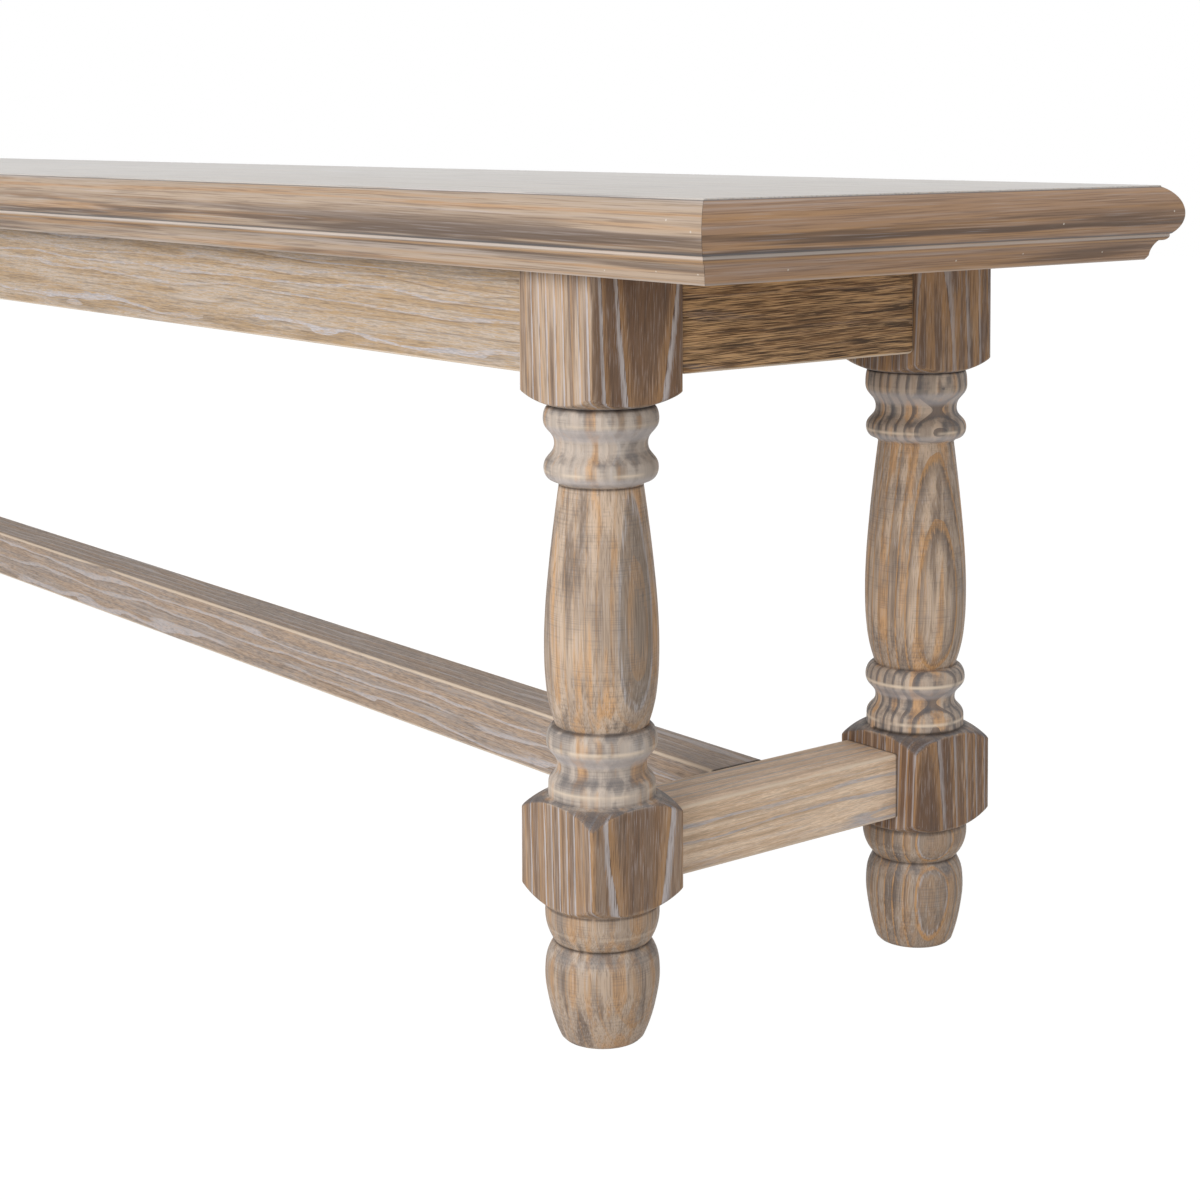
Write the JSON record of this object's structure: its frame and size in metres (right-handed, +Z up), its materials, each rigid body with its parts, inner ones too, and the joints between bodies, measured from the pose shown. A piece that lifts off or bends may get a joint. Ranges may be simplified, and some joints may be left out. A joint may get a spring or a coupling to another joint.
{
  "type": "dining bench",
  "caption": "Long backless dining bench with turned legs, an H-shaped stretcher and a moulded edge round a flat wooden seat.",
  "frame": {"origin": "on the floor under the middle of the bench", "axes": "+X along the bench, +Y from its front to its back, +Z up"},
  "size_m": [1.829, 0.3586, 0.457],
  "materials": {
    "seat_wood": "matt",
    "moulding_wood": "satin",
    "apron_wood": "satin",
    "leg_wood": "satin",
    "stretcher_wood": "satin",
    "unfinished_wood": "matt",
    "dowel_wood": "matt",
    "zinc_steel": "satin"
  },
  "bodies": {
    "root": {"seat_panel": "seat_wood", "front_moulding": "moulding_wood", "front_apron": "apron_wood", "back_moulding": "moulding_wood", "back_apron": "apron_wood", "left_end_moulding": "moulding_wood", "left_end_apron": "apron_wood", "right_end_moulding": "moulding_wood", "right_end_apron": "apron_wood", "front_edge_batten": "unfinished_wood", "back_edge_batten": "unfinished_wood", "left_end_batten": "unfinished_wood", "right_end_batten": "unfinished_wood", "middle_batten_1": "unfinished_wood", "cross_rail_1": "unfinished_wood", "middle_batten_2": "unfinished_wood", "cross_rail_2": "unfinished_wood", "middle_batten_3": "unfinished_wood", "cross_rail_3": "unfinished_wood", "front_left_leg": "leg_wood", "front_left_corner_block": "unfinished_wood", "front_right_leg": "leg_wood", "front_right_corner_block": "unfinished_wood", "back_left_leg": "leg_wood", "back_left_corner_block": "unfinished_wood", "back_right_leg": "leg_wood", "back_right_corner_block": "unfinished_wood", "left_end_stretcher": "stretcher_wood", "right_end_stretcher": "stretcher_wood", "centre_stretcher": "stretcher_wood", "stretcher_dowels": "dowel_wood", "seat_screws": "zinc_steel"}
  },
  "joints": []
}
